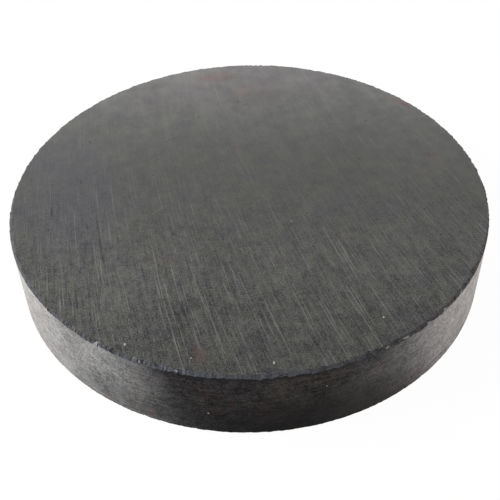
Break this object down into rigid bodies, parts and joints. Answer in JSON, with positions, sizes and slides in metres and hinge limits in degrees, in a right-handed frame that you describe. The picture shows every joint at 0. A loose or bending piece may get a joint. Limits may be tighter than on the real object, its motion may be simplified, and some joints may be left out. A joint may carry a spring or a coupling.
{
  "type": "disc magnet",
  "caption": "Flat round sintered ferrite magnet with ground pole faces, a narrow edge break and small rim chips.",
  "frame": {"origin": "centre of the lower pole face", "axes": "+Z along the disc axis, from the lower pole face to the upper one; +X and +Y lie in the lower pole face"},
  "size_m": [0.0381, 0.038, 0.0063],
  "materials": {
    "ferrite": "satin"
  },
  "bodies": {
    "root": {"ferrite_disc": "ferrite"}
  },
  "joints": []
}
